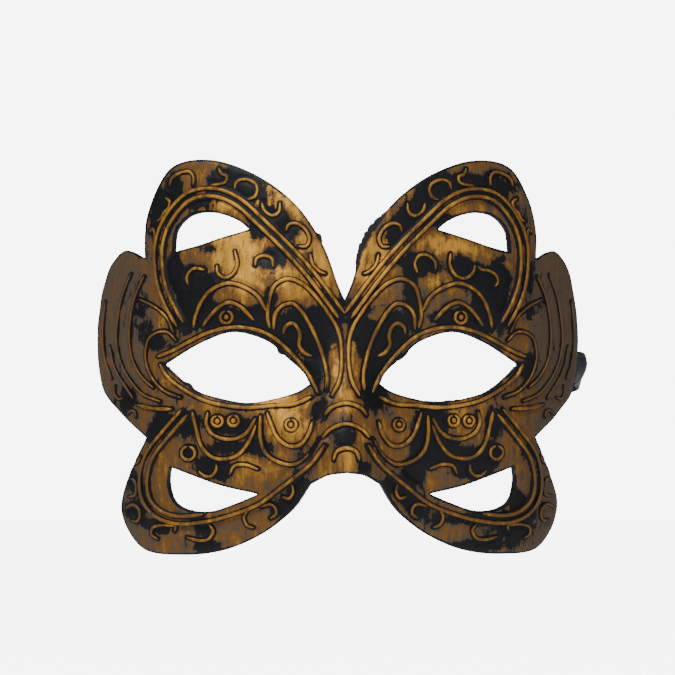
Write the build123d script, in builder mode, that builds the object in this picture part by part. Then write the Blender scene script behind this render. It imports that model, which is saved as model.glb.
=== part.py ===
from build123d import *
from math import exp, sqrt
import os

# Venetian half mask, upright as it is worn. +X to the right of the mask's front, -Y out of the
# front, +Y towards the wearer, +Z up; left and right are those of someone looking at the front.
# The origin is the seat on the nose bridge: the point of the lining, between the eyes, that
# rests on the wearer's nose. All lengths are in millimetres.

# ---- driving dimensions -------------------------------------------------------------------
SHELL_T = 2.4            # pasteboard shell, front to back, so thinner on its steep sides
LINING_T = 1.0           # felt skin glued inside the shell, front to back
GLUE = 0.06              # how far glued layers sink into each other

TEMPLE_HALF = 98.0       # half axes of the ellipse that the face wraps round in plan
TEMPLE_DEPTH = 76.0
TOP_Z = 77.0             # crown of the upper wings
BOTTOM_Z = -69.5         # foot of the lower wings
TOP_LEAN = 8.0           # how far the wing tips lean back
BOTTOM_LEAN = 5.0
NOSE_H = 17.5            # how far the nose tip stands forward
NOSE_ROOT_Z = 25.0
NOSE_LENGTH = 65.0
NOSE_W = 10.0            # half width of the nose ridge at its root
NOSE_FLARE = 5.0         # added to the half width at the tip
# soft forms: depth, then middle and half width across, then middle and half height
BROW = (3.0, 30, 24, 25, 14)
CHEEK = (4.0, 21, 11, -24, 10)
SOCKET = (3.0, 38, 26, 0, 14)
SEAT_Y = 2.11            # brings the bridge's inner face onto the origin

GRID = 6.0               # spacing of the points that the face surface is drawn through
GRID_HALF_X = 96.0
GRID_LOW_Z = -78.0
GRID_HIGH_Z = 84.0
GRID_TOL = 0.02

RIBBON_W = 12.0
RIBBON_T = 0.5
PATCH_T = 1.3            # felt patch over a glued ribbon end
PATCH_SINK = 0.05        # how far its middle presses into the felt; its edges press deeper
PATCH_X = 79.5
PATCH_W = 15.0
PATCH_H = 18.0
PATCH_CORNER = 2.5
BED = 5.25               # half length of ribbon bedded under a patch
FOLD_X = {"left": 91.9, "right": 97.2}   # how far out each ribbon's loose fold stands
EDGE_X = 89.6            # where the glued ends leave the lining, on their way to the folds
EDGE_Y = 58.6
FOLD_Y = (62.3, 64.2, 65.2, 69.8)        # depths of the glued end's bend and tip, and the span's
TIP_IN = 1.1             # the glued end's tip and the span's start, inside the fold
START_IN = 0.3
SPAN_PLAN = [(86, 72.6), (61, 72.6), (29, 71.2)]
SPAN_FALL = [(100, 0.5), (88, -5.5), (61, -18), (28, -26)]
HANK_HALF = 30.0         # half length of the surplus ribbon, folded to and fro
HANK_T = 3.4             # one ribbon's stack of folds
HANK_ROUND = 1.5
HANK_Y = 71.0            # plane between the two stacks
TIE_Z = -26.0            # height of the hank
WRAP_W = 9.0
WRAP_T = 0.6
WRAP_GAP = 0.05

SIDES = {"left": -1, "right": 1}


# ---- the face surface ---------------------------------------------------------------------
def smooth_step(t):
    t = min(max(t, 0.0), 1.0)
    return t * t * (3 - 2 * t)


def bump(distance, width):
    return exp(-(distance / width) ** 2)


def swell(side, z, form):
    """Depth of one soft form of the face at a place."""
    height, across, half_width, up, half_height = form
    return height * bump(side - across, half_width) * bump(z - up, half_height)


def face_y(x, z):
    """Depth of the front face at a place in the front view."""
    side = abs(x)
    wrap = TEMPLE_DEPTH * (1 - sqrt(1 - min(side / TEMPLE_HALF, 0.999) ** 2))
    lean = TOP_LEAN * (max(z, 0) / TOP_Z) ** 2 + BOTTOM_LEAN * (min(z, 0) / BOTTOM_Z) ** 2
    down = smooth_step((NOSE_ROOT_Z - z) / NOSE_LENGTH)
    nose = NOSE_H * down * bump(side, NOSE_W + NOSE_FLARE * down)
    forms = swell(side, z, SOCKET) - swell(side, z, BROW) - swell(side, z, CHEEK)
    return wrap + lean - nose + forms + SEAT_Y


def face_normal(x, z):
    """Unit normal of the front face, pointing back towards the wearer."""
    step = 0.25
    slope_x = (face_y(x + step, z) - face_y(x - step, z)) / (2 * step)
    slope_z = (face_y(x, z + step) - face_y(x, z - step)) / (2 * step)
    return Vector(-slope_x, 1, -slope_z).normalized()


def steps(low, high, pitch):
    count = max(round((high - low) / pitch), 1)
    return [low + (high - low) * i / count for i in range(count + 1)]


# ---- outlines in the front view: the mask's left half, mirrored to the right ---------------
HALF_OUTLINE = [
    # the V between the upper wings, and over the wing's crown
    [(0, 25), (2.2, 30), (7.5, 44.5), (17, 59.2), (32.2, 71), (49.8, TOP_Z), (63, 74.8),
     (70.6, 63), (73.6, 51), (73.5, 40.7)],
    # the temple lobe, down to the side notch
    [(73.5, 40.7), (81, 43.8), (87.3, 37), (91.2, 21.5), (92.1, 7), (89.5, -8.8), (83, -17),
     (73, -26.2)],
    # the lower wing
    [(73, -26.2), (80, -41.5), (82.6, -54), (74.5, -67.8), (59, BOTTOM_Z), (43, -67),
     (28.5, -60), (19.5, -52), (13.6, -42.5)],
    # under the nose
    [(13.6, -42.5), (7, -38.8), (0, -37.7)],
]
EYE = [
    [(66.2, 1.0), (51.3, 9.5), (40.3, 12.9), (28.1, 9.5), (21, 3.6), (15, -2.0), (13.1, -5.8)],
    [(13.1, -5.8), (17, -8.4), (25.3, -11), (35.2, -12.7), (45.5, -11.1), (54.5, -8.2), (66.2, 1.0)],
]
UPPER_HOLE = [
    [(62.5, 42.9), (61.3, 51), (56.5, 56), (50.5, 57.3), (44, 56.3), (37.9, 53.5), (34.9, 50.9)],
    [(34.9, 50.9), (45.8, 47.7), (54, 45), (62.5, 42.9)],
]
LOWER_HOLE = [
    [(63.9, -37), (64.4, -42.5), (62.4, -49.5), (57.5, -52.5), (48.6, -52.8), (39, -49.5),
     (31.7, -46.3)],
    [(31.7, -46.3), (45.3, -43.4), (53.4, -40.7), (63.9, -37)],
]


def flipped(points, side):
    return [(side * x, z) for x, z in points]


def closed_outline(segments, side):
    """A face bounded by one smooth curve for each list of points."""
    with BuildSketch() as region:
        with BuildLine():
            for points in segments:
                Spline(*flipped(points, side))
        make_face()
    return region.sketch


def mask_plan():
    """The mask's flat plan: the outline less its two eyes and four wing holes."""
    with BuildSketch() as plan:
        for side in SIDES.values():
            add(closed_outline([*HALF_OUTLINE, [(0, -37.7), (0, 25)]], side))
        for side in SIDES.values():
            for outline in (EYE, UPPER_HOLE, LOWER_HOLE):
                add(closed_outline(outline, side), mode=Mode.SUBTRACT)
    return plan.sketch


def skin(depth, thickness):
    """A layer of the mask, `depth` behind the front face, trimmed to the outline and holes."""
    points = [
        [Vector(x, face_y(x, z) + depth, z) for x in steps(-GRID_HALF_X, GRID_HALF_X, GRID)]
        for z in steps(GRID_LOW_Z, GRID_HIGH_Z, GRID)
    ]
    surface = Face.make_surface_from_array_of_points(points, tol=GRID_TOL)
    with BuildPart() as layer:
        with BuildSketch(Plane.XZ):
            add(mask_plan())
        extrude(amount=2 * TEMPLE_HALF, both=True)
        add(Solid.extrude(surface, Vector(0, thickness, 0)), mode=Mode.INTERSECT)
    return layer.part


# ---- export ---------------------------------------------------------------------------------
def finish(part, label):
    part.label = label
    export_step(part, f"parts/{label}.step")


# ---- shell and lining -----------------------------------------------------------------------
os.makedirs("parts", exist_ok=True)
LINING_BACK = SHELL_T - GLUE + LINING_T
finish(skin(0, SHELL_T), "face_shell")
finish(skin(SHELL_T - GLUE, LINING_T), "felt_lining")


# ---- patches and ribbons ----------------------------------------------------------------------
def upright_strip(places, low, high):
    """A ribbon standing on edge between two heights, along straight runs in plan."""
    with BuildPart() as strip:
        with BuildSketch(Plane.XY.offset(low)):
            with BuildLine():
                Polyline(*places)
            trace(line_width=RIBBON_T)
        extrude(amount=high - low)
    return strip.part


def lining_plane(side, x):
    """A plane on the back of the lining, facing the wearer, with its own X upright."""
    place = Vector(side * x, face_y(x, 0) + LINING_BACK, 0)
    return Plane(origin=place, x_dir=(0, 0, 1), z_dir=face_normal(side * x, 0))


for word, side in SIDES.items():
    with BuildPart() as anchor_patch:
        with BuildSketch(lining_plane(side, PATCH_X).offset(-PATCH_SINK)):
            RectangleRounded(PATCH_H, PATCH_W, PATCH_CORNER)
        extrude(amount=PATCH_T)
    finish(anchor_patch.part, f"anchor_patch_{word}")

    # the fixed end: bedded in its patch, then out past the back of the mask's edge
    bend_y, tip_y, start_y, fold_y = FOLD_Y
    fold_x = FOLD_X[word]
    bed = lining_plane(side, PATCH_X).offset(PATCH_T / 2 - PATCH_SINK)
    bedded = [bed.from_local_coords((0, across, 0)) for across in (-BED, BED)]
    places = sorted([(p.X, p.Y) for p in bedded], key=lambda p: abs(p[0]))
    places += [
        (side * EDGE_X, EDGE_Y),
        (side * (EDGE_X + fold_x - TIP_IN) / 2, bend_y),
        (side * (fold_x - TIP_IN), tip_y),
    ]
    finish(upright_strip(places, -RIBBON_W / 2, RIBBON_W / 2), f"ribbon_end_{word}")

    # the swinging span: from the fold at the edge, inwards and down to the hank
    places = [(side * (fold_x - START_IN), start_y), (side * fold_x, fold_y)]
    places += [(side * x, y) for x, y in SPAN_PLAN]
    with BuildPart() as ribbon:
        with BuildSketch(Plane.XZ):
            with BuildLine():
                Polyline(*flipped(SPAN_FALL, side))
            trace(line_width=RIBBON_W)
        extrude(amount=TEMPLE_HALF, both=True)
        add(upright_strip(places, TIE_Z - RIBBON_W, RIBBON_W), mode=Mode.INTERSECT)
    finish(ribbon.part, f"ribbon_{word}")

# each ribbon's surplus is folded to and fro; the two stacks lie one behind the other
for word, side in SIDES.items():
    with BuildPart() as ribbon_folds:
        with BuildSketch(Plane.XY.offset(TIE_Z - RIBBON_W / 2)):
            with Locations((0, HANK_Y + side * HANK_T / 2)):
                RectangleRounded(2 * HANK_HALF, HANK_T, HANK_ROUND)
        extrude(amount=RIBBON_W)
    finish(ribbon_folds.part, f"ribbon_folds_{word}")

with BuildPart() as tie_wrap:
    with BuildSketch(Plane.YZ.offset(-WRAP_W / 2)):
        with Locations((HANK_Y, TIE_Z)):
            Rectangle(2 * HANK_T + 2 * WRAP_GAP + 2 * WRAP_T, RIBBON_W + 2 * WRAP_GAP + 2 * WRAP_T)
            Rectangle(2 * HANK_T + 2 * WRAP_GAP, RIBBON_W + 2 * WRAP_GAP, mode=Mode.SUBTRACT)
    extrude(amount=WRAP_W)
finish(tie_wrap.part, "tie_wrap")
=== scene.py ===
"""Venetian half mask with butterfly wings: moulded shell, piped relief, felt lining, ribbon tie.

+X to the right of the mask's front, -Y out of the front, +Z up. Lengths in the maker's lists
are millimetres; everything is turned into metres where it becomes a mesh.
"""
import math

import bpy
import numpy as np
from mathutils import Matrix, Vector
from mathutils.kdtree import KDTree


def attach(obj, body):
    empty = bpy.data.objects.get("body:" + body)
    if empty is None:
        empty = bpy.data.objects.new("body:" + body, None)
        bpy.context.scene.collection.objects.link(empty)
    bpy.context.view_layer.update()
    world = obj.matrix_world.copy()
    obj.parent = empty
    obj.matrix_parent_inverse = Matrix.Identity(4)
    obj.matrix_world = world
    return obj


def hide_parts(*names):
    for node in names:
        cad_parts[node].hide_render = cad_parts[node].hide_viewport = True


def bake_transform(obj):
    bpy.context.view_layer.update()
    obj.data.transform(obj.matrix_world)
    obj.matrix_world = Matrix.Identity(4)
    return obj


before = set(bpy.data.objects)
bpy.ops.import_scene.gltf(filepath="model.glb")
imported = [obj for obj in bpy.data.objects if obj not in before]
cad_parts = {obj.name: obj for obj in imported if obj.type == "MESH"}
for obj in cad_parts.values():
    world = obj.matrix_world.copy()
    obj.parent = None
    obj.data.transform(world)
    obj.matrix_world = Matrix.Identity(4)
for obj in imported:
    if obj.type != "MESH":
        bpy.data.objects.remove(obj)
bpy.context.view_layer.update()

bl_info = {
    "name": "Venetian Half Mask",
    "version": (1, 0, 0),
    "blender": (4, 5, 0),
    "location": "3D View > Sidebar > Mask",
    "description": "Builds a gilded Venetian half mask around its CAD frame",
    "category": "Add Mesh",
}

MM = 0.001
SIDES = {"left": -1, "right": 1}
PLAN_PITCH = 1.2      # along the outline and the holes
STRAND_PITCH = 1.1    # along a strand
EDGE_PITCH = 0.25     # along an edge that distances are measured to
COURSE_PITCH = 0.4    # along a strand or ridge that distances are measured to

# ---- the face, as (x, z) places in the front view, in millimetres ----
TEMPLE_HALF = 98.0
TEMPLE_DEPTH = 76.0
TOP_Z = 77.0
BOTTOM_Z = -69.5
TOP_LEAN = 8.0
BOTTOM_LEAN = 5.0
NOSE_H = 17.5
NOSE_W = 10
NOSE_FLARE = 5
NOSE_ROOT_Z = 25.0
NOSE_LENGTH = 65.0
SEAT_Y = 2.11
# Rounded forms of the face: height, then middle and reach across, then middle and reach up.
BROW = (3.0, 30, 24, 25, 14)
CHEEK = (4.0, 21, 11, -24, 10)
SOCKET = (3.0, 38, 26, 0, 14)

HALF_OUTLINE = [
    [(0, 25), (2.2, 30), (7.5, 44.5), (17, 59.2), (32.2, 71), (49.8, TOP_Z), (63, 74.8),
     (70.6, 63), (73.6, 51), (73.5, 40.7)],
    [(73.5, 40.7), (81, 43.8), (87.3, 37), (91.2, 21.5), (92.1, 7), (89.5, -8.8), (83, -17),
     (73, -26.2)],
    [(73, -26.2), (80, -41.5), (82.6, -54), (74.5, -67.8), (59, BOTTOM_Z), (43, -67), (28.5, -60),
     (19.5, -52), (13.6, -42.5)],
    [(13.6, -42.5), (7, -38.8), (0, -37.7)],
]
EYE = [
    [(66.2, 1.0), (51.3, 9.5), (40.3, 12.9), (28.1, 9.5), (21, 3.6), (15, -2.0), (13.1, -5.8)],
    [(13.1, -5.8), (17, -8.4), (25.3, -11), (35.2, -12.7), (45.5, -11.1), (54.5, -8.2),
     (66.2, 1.0)],
]
UPPER_HOLE = [
    [(62.5, 42.9), (61.3, 51), (56.5, 56), (50.5, 57.3), (44, 56.3), (37.9, 53.5), (34.9, 50.9)],
    [(34.9, 50.9), (45.8, 47.7), (54, 45), (62.5, 42.9)],
]
LOWER_HOLE = [
    [(63.9, -37), (64.4, -42.5), (62.4, -49.5), (57.5, -52.5), (48.6, -52.8), (39, -49.5),
     (31.7, -46.3)],
    [(31.7, -46.3), (45.3, -43.4), (53.4, -40.7), (63.9, -37)],
]

UPPER_RIDGE = [(1.2, 19), (12, 33.5), (21.5, 44.5), (31.5, 54.5), (38, 60.5), (45, 64),
    (51.5, 64.5), (56.5, 63), (61, 59), (65, 53), (67.2, 46.5), (67.6, 40.5),
    (66.5, 31), (63.5, 23), (59.5, 16)]
LOWER_RIDGE = [(58, -16.5), (64, -23.5), (70.5, -32), (72.5, -37.5), (73.2, -43.5), (72, -49.5),
    (68, -54), (61.5, -56.2), (51, -55.3), (41, -52.5), (31.5, -48.5), (24.5, -43.2),
    (18, -38), (12.5, -33), (8.5, -27)]


def ring(x, z, radius):
    """Places round a ring that is left open by 20 degrees at its top."""
    angles = [math.radians(100 + 34 * i) for i in range(11)]
    return [(x + radius * math.cos(a), z + radius * math.sin(a)) for a in angles]


# Bosses: a small ring, as (x, z, radius), with a dot in its middle.
BOSSES = [(43, 18.6, 2.2), (46.3, -19.6, 1.9), (40.4, -19.4, 1.9), (19.6, -20.6, 1.9)]
# Heavy strands are drawn with a full nozzle, fine ones with a narrow one.
HEAVY = {
    "eye_rim": [
        [(68.5, 4), (62.5, 6.4), (57.5, 9.2), (49.5, 13), (40.5, 15), (32, 14), (25.5, 11),
         (18.5, 4.5), (13, -2.5), (9.8, -9)],
        [(67.5, 1.2), (65, -3), (59.5, -7.5), (51, -12), (42.5, -14), (34.5, -14.6), (26, -13.8),
         (18.5, -13.2), (12.3, -10.5)],
    ],
    "brow_arches": [
        [(55, 14.8), (54.5, 18), (52, 24.5), (48.5, 28.5), (42.5, 31), (36.5, 29.5), (31.5, 26),
         (28.6, 21)],
        [(51.5, 15.4), (49, 19), (45, 22.8), (42, 24), (38, 22.5), (33, 17.5)],
        [(27.2, 14.8), (28, 19), (27.3, 25), (25.5, 30), (21, 32.5), (16, 31), (10.5, 26), (6, 20),
         (3, 15), (1.5, 10), (1.2, 5), (1.4, 0), (2.4, -5), (5, -10)],
        [(25.8, 14.2), (25.3, 19.5), (23, 22.5), (19, 23.5), (16, 21), (12.5, 15.5), (9.5, 9),
         (7.5, 2.5), (6.5, -3), (6.8, -8)],
        [(22.3, 12.5), (21.5, 15.2), (19, 16.4), (16.7, 14), (16.2, 11.5), (16.6, 8.5),
         (14.5, 5.4), (12, 4.4)],
    ],
    "cheek_swags": [
        [(55.5, -16.4), (54.2, -22), (52, -29), (48.5, -32.6), (44.5, -33.5), (39, -32),
         (34.8, -27), (32.2, -21)],
        [(49.8, -16.4), (50.4, -20), (49, -23.5), (45, -25.8), (40, -26), (35.5, -23.6),
         (32.4, -18.5)],
        [(30.6, -17.5), (30.5, -26), (28.6, -31), (24.5, -34), (18.5, -35), (13, -31.4),
         (9.6, -25.5)],
        [(28.2, -16.4), (27, -19.8), (24.5, -25.2), (20.5, -28.2), (16.5, -27.8), (13.4, -24),
         (12, -19.5)],
        [(76, -14), (70, -15.2), (63, -15.4)],
    ],
}
FINE = {
    "brow_scrolls": [
        [(51, 36), (55, 36.5), (57.5, 33.5), (57, 30.5)],
        [(46.5, 37.5), (46, 34.5), (43.5, 33), (40.5, 34.5), (39, 38), (40, 43)],
        [(32.5, 37.5), (32, 40), (29.5, 41), (26.5, 40), (26, 37)],
    ],
    "upper_scrolls": [
        [(40, 65.8), (39, 68.5), (36, 69.3), (32.6, 67.8), (31.6, 65.2), (32.6, 62.8), (35, 61.8)],
        [(30, 60.3), (29, 57.5), (26, 55.7), (23.7, 57.2), (23.4, 60.4)],
        [(21.2, 50), (20.5, 52.2), (18, 53), (14.5, 51), (12.7, 47.2), (14, 44.4), (16.6, 44.4)],
        [(12.5, 41.5), (11.6, 37.8), (9.2, 35.2), (7, 34.4)],
        [(45.8, 73.6), (44.8, 71.4), (42.8, 70.6), (43.2, 68.4), (45.5, 67.5), (49, 67.2)],
        [(64, 67.5), (63, 70.3), (60, 72.2), (56.5, 72.6), (55, 70.3), (55.2, 67.6)],
        [(65.5, 63), (63.8, 61.6), (64.4, 59), (66, 57.6), (66.8, 55.4), (68.6, 54.5)],
        [(71.4, 50.3), (70.2, 51.6), (69.4, 49.5), (69.6, 46.5)],
    ],
    "cheek_scrolls": [
        ring(57, -31.5, 2.5),
        [(53, -38.2), (51, -39.8), (48.5, -39.8), (46.7, -37.6), (46.7, -35.6)],
        [(41.8, -39), (40.2, -36), (36.3, -35.4), (31.5, -37)],
    ],
    "lower_scrolls": [
        [(77.6, -30.5), (75.4, -32), (75, -34.4), (77, -36.2)],
        [(80, -41.6), (77.4, -42), (76.4, -44.8), (77, -47.8), (79.6, -48.6)],
        [(80.8, -53), (77.6, -51.4), (75.4, -53), (75, -55.6), (76.2, -57.6), (78.4, -57.4)],
        [(62, -60.6), (61.6, -58.8), (64, -58.4), (67.4, -58.6), (70.4, -59.8), (70.6, -62.4),
         (68.4, -63.8)],
        [(49.3, -57.8), (47.8, -60), (49.3, -63), (52.6, -63.8), (57.4, -62.8)],
        [(34.8, -51.6), (36.6, -54.6), (35.4, -57.8), (33, -58.6)],
        [(30.4, -50.8), (27.2, -49.8), (25.2, -51), (24.8, -53.4), (27, -55)],
        [(19.2, -42.4), (18.6, -45), (20.2, -47.6), (22.6, -47)],
    ],
    "temple_lines": [
        [(73.5, 34), (77, 26), (78.8, 17), (79, 9), (77.6, 2), (74, -4), (70, -7.5)],
        [(88.3, 25), (89.4, 14), (88.8, 4), (86, -4.5)],
        [(75.5, 25.5), (69.5, 22.5), (65, 18.5), (62.5, 13)],
        [(61.5, 10), (64.5, 13), (68, 13.2), (71.6, 10.8), (73, 4.2), (71, -3), (66, -8.6),
         (60, -11)],
        [(78.5, 35), (82, 26), (83.6, 17), (84, 10), (82.5, 2), (79, -4.6), (74, -10),
         (67.5, -12.6)],
        [(86.8, 8), (84.6, -0.8), (80.5, -7.4), (77.6, -11.6)],
        [(84.6, -7), (85, -9.6), (83.2, -12), (81.4, -11.4)],
        [(76.5, -18.6), (77, -16.6), (78.6, -16.2), (79.8, -17.6)],
    ],
    "bosses": [ring(*boss) for boss in BOSSES],
}
RIGHT_BROW_SCROLLS = [
    [(26.8, 34.8), (25.8, 38), (27.6, 41.2), (30.8, 41.2), (33.4, 38.8), (33.6, 36)],
    [(39.4, 42), (39, 37.8), (41, 34), (44.4, 32.8), (47.8, 35), (48.6, 37.8)],
    [(49.6, 37.4), (51, 36.2), (54, 35.8), (57, 33.8), (57.4, 31.2), (56.4, 30.2)],
]
NOSE_ARCHES = [
    [(-7.6, -17), (-5.5, -14.5), (0, -12.6), (5.5, -14.5), (7.6, -17)],
    [(-8.4, -25), (-5.6, -22), (0, -20), (5.6, -22), (8.4, -25)],
    [(-4.6, -33), (-3.6, -30), (0, -28.6), (3.6, -30), (4.6, -33)],
]

# The painter's map, per side: (x, z, half width, half height, amount). BARE is lacquer left
# showing; the table after it is gold laid on heavily, and partly painted highlight on the
# inner slopes of the wings.
BARE = {
    "left": [
        (3, 22, 4, 3, 1.0), (20, 50, 4, 4, 0.8), (27, 55, 5, 4, 0.9), (34, 64, 6, 5, 1.0),
        (39, 70, 6, 3, 0.8), (45, 69, 4, 3, 0.9), (63, 65, 4, 7, 0.8), (69, 56, 3, 9, 0.7),
        (54, 61, 8, 2, 0.9), (62, 37, 2, 6, 1.0), (54, 33, 6, 4, 1.0), (49, 44, 4, 2, 0.6),
        (58, 23, 3, 9, 1.0), (51, 23, 4, 6, 0.9), (43, 18, 9, 3, 0.9), (31, 18, 5, 5, 0.8),
        (25, 41, 4, 5, 0.7), (30, 39, 3, 2, 0.9), (32, 49, 3, 3, 0.8), (27, 25, 2, 6, 0.8),
        (17, 14, 8, 7, 0.9), (8, 16, 3, 6, 0.8), (11, 3, 4, 8, 0.8), (3, 13, 3, 5, 0.8),
        (75, 22, 4, 9, 0.5), (69, 10, 5, 5, 0.7), (66, -19, 3, 4, 0.8), (58, -21, 3, 4, 1.0),
        (42, -21, 9, 3, 1.0), (40, -29, 8, 2, 1.0), (31, -29, 3, 3, 0.9), (50, -36, 5, 3, 1.0),
        (44, -38, 3, 3, 1.0), (57, -31, 2, 2, 1.0), (70, -24, 3, 4, 0.7), (80, -12, 4, 5, 0.8),
        (78, -43, 2, 4, 0.9), (73, -47, 2, 4, 0.8), (77, -53, 4, 3, 0.9), (72, -58, 4, 2, 0.9),
        (66, -60, 3, 2, 1.0), (50, -59, 4, 3, 0.8), (51, -66, 5, 2, 1.0), (17, -45, 3, 5, 1.0),
        (22, -51, 4, 3, 0.9), (0, -25, 4, 4, 1.0), (10, -16, 3, 4, 0.7), (14, -29, 3, 5, 0.5),
    ],
    "right": [
        (3, 22, 4, 3, 1.0), (18, 48, 3, 4, 1.0), (22, 54, 4, 4, 0.9), (28, 60, 4, 5, 0.9),
        (34, 66, 5, 4, 0.9), (45, 68, 8, 4, 0.9), (58, 67, 6, 5, 0.7), (33, 55, 9, 2, 0.9),
        (66, 55, 3, 8, 0.5), (30, 38, 5, 4, 1.0), (43, 37, 4, 5, 1.0), (53, 33, 6, 4, 1.0),
        (58, 28, 3, 12, 1.0), (24, 36, 3, 4, 0.9), (51, 20, 4, 7, 1.0), (40, 18, 9, 3, 0.9),
        (25, 24, 3, 6, 0.8), (17, 11, 6, 8, 1.0), (5, 14, 3, 6, 1.0), (10, 0, 4, 9, 0.8),
        (70, 34, 3, 7, 0.6), (71, 20, 4, 4, 0.5), (69, 0, 5, 5, 0.6), (33, -18, 4, 4, 1.0),
        (35, -25, 4, 5, 0.9), (27, -26, 3, 8, 1.0), (40, -31, 9, 3, 0.9), (56, -20, 3, 6, 1.0),
        (47, -38, 7, 3, 1.0), (54, -32, 3, 3, 1.0), (25, -38, 4, 3, 0.9), (11, -11, 4, 4, 0.9),
        (0, -25, 4, 4, 1.0), (6, -36, 2, 3, 0.8), (18, -43, 5, 3, 0.9), (23, -48, 4, 3, 0.8),
        (28, -52, 4, 3, 0.7), (46, -56, 11, 2, 1.0), (50, -66, 12, 2, 0.9), (63, -60, 7, 4, 0.9),
        (69, -54, 3, 5, 0.9), (64, -49, 3, 3, 0.9), (74, -45, 2, 6, 0.9), (70, -32, 3, 3, 0.6),
    ],
}
# Gold laid on heavily, and painted highlight on the inner slopes of the wings.
GILT_AND_HIGHLIGHT = {
    "left": [
        (42, 60, 8, 2, 0.8), (24, 62, 7, 6, 1.0), (36, 37, 5, 9, 1.0), (45, 43, 7, 5, 0.8),
        (34, 47, 5, 3, 1.0), (8, 37, 5, 8, 0.8), (23, 35, 5, 2, 0.9), (25, -12, 8, 2, 0.9),
        (22, -20, 8, 6, 0.8), (3, 3, 3, 9, 0.6), (32, -36, 8, 3, 0.5), (45, -19, 5, 3, 0.5),
        (20, 29, 6, 3, 0.4), (0, -34, 4, 4, 0.6), (16, 46, 3, 3, 0.5),
    ],
    "right": [
        (24, 62, 3, 3, 0.9), (35, 46, 9, 3, 0.9), (41, 58, 8, 3, 0.6), (12, 42, 5, 6, 0.8),
        (8, 33, 5, 6, 0.8), (34, 32, 5, 3, 0.6), (45, 43, 8, 3, 0.6), (42, -19, 6, 5, 0.5),
        (38, -13, 13, 2, 0.7), (4, -25, 3, 3, 0.8), (0, -12, 3, 6, 0.9), (0, -34, 4, 4, 0.8),
        (18, 50, 3, 5, 0.4), (3, 3, 3, 9, 0.6), (64, 0, 2, 4, 0.5),
    ],
}
# Places where the felt was cut a little large and shows past the board: (x, z, reach, amount).
FELT_SHOWS = [(9, 47, 11, 2.6), (-9, 48, 2.2, 1.5), (66.5, 67, 2, 1.3), (-23, 6.5, 2.2, 1.5),
              (22, 4.5, 4, 1.2), (36, -12.6, 8, 1.1), (-58, -7, 2, 1.2)]


def eased(share):
    """A share from 0 to 1, with a soft start and a soft end."""
    return share * share * (3 - 2 * share)


def swell(side, z, form):
    """Height of one rounded form of the face."""
    height, x_middle, x_reach, z_middle, z_reach = form
    return height * np.exp(-((side - x_middle) / x_reach) ** 2 - ((z - z_middle) / z_reach) ** 2)


def face_y(x, z):
    """Depth of the smooth front face, in millimetres."""
    side = np.abs(x)
    wrap = TEMPLE_DEPTH * (1 - np.sqrt(1 - np.minimum(side / TEMPLE_HALF, 0.999) ** 2))
    lean = TOP_LEAN * (np.maximum(z, 0) / TOP_Z) ** 2
    lean = lean + BOTTOM_LEAN * (np.minimum(z, 0) / BOTTOM_Z) ** 2
    down = eased(np.clip((NOSE_ROOT_Z - z) / NOSE_LENGTH, 0, 1))
    nose = NOSE_H * down * np.exp(-(side / (NOSE_W + NOSE_FLARE * down)) ** 2)
    forms = [swell(side, z, form) for form in (BROW, CHEEK, SOCKET)]
    return wrap + lean - nose - forms[0] - forms[1] + forms[2] + SEAT_Y


def face_point(x, z, lift=0.0):
    """Points on the front face, or `lift` millimetres in front of it, as an (n, 3) array."""
    x, z = np.asarray(x, float), np.asarray(z, float)
    step = 0.25
    slope_x = (face_y(x + step, z) - face_y(x - step, z)) / (2 * step)
    slope_z = (face_y(x, z + step) - face_y(x, z - step)) / (2 * step)
    normal = np.stack([slope_x, -np.ones_like(x), slope_z], -1)
    normal /= np.linalg.norm(normal, axis=-1, keepdims=True)
    return np.stack([x, face_y(x, z), z], -1) + normal * np.asarray(lift)[..., None]


def smooth_course(points, pitch):
    """A smooth curve through the places, sampled about every `pitch`."""
    p = np.array(points, float)
    p = np.vstack([2 * p[0] - p[1], p, 2 * p[-1] - p[-2]])
    out = []
    for a, b, c, d in zip(p, p[1:], p[2:], p[3:]):
        spans = [math.sqrt(np.linalg.norm(v - u)) for u, v in ((a, b), (b, c), (c, d))]
        knots = np.cumsum([0] + spans)
        count = max(int(np.linalg.norm(c - b) / pitch + 0.5), 2)
        for t in np.linspace(knots[1], knots[2], count, endpoint=False):
            ab = a + (b - a) * (t - knots[0]) / (knots[1] - knots[0])
            bc = b + (c - b) * (t - knots[1]) / (knots[2] - knots[1])
            cd = c + (d - c) * (t - knots[2]) / (knots[3] - knots[2])
            abc = ab + (bc - ab) * (t - knots[0]) / (knots[2] - knots[0])
            bcd = bc + (cd - bc) * (t - knots[1]) / (knots[3] - knots[1])
            out.append(abc + (bcd - abc) * (t - knots[1]) / (knots[2] - knots[1]))
    out.append(p[-2])
    return np.array(out)


def length_along(course):
    """Length run at each point of a course."""
    return np.concatenate([[0], np.cumsum(np.linalg.norm(np.diff(course, axis=0), axis=1))])


def mirrored(points, side):
    """The same places on the given side of the mask."""
    return [(side * x, z) for x, z in points]


def beside(points, shift):
    """The same course, moved sideways in the front view."""
    course = smooth_course(points, 2.0)
    along = np.gradient(course, axis=0)
    along /= np.linalg.norm(along, axis=1, keepdims=True)
    return course + np.stack([-along[:, 1], along[:, 0]], -1) * shift


def joined(segments, side=1):
    """Smooth segments laid end to end, with a corner where two of them meet."""
    return np.vstack([
        smooth_course(mirrored(points, side), PLAN_PITCH)[:-1] for points in segments])


def whole_outline():
    """The outline of the whole mask, from the V at the brow round to the V again."""
    right = np.vstack([joined(HALF_OUTLINE), HALF_OUTLINE[-1][-1:]])
    left = right[1:-1][::-1] * (-1, 1)
    return np.vstack([right, left])


def plan_loops():
    """The outline, then every hole, as closed loops in the front view."""
    loops = [whole_outline()]
    for side in SIDES.values():
        loops += [joined(segments, side) for segments in (EYE, UPPER_HOLE, LOWER_HOLE)]
    return loops


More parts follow.
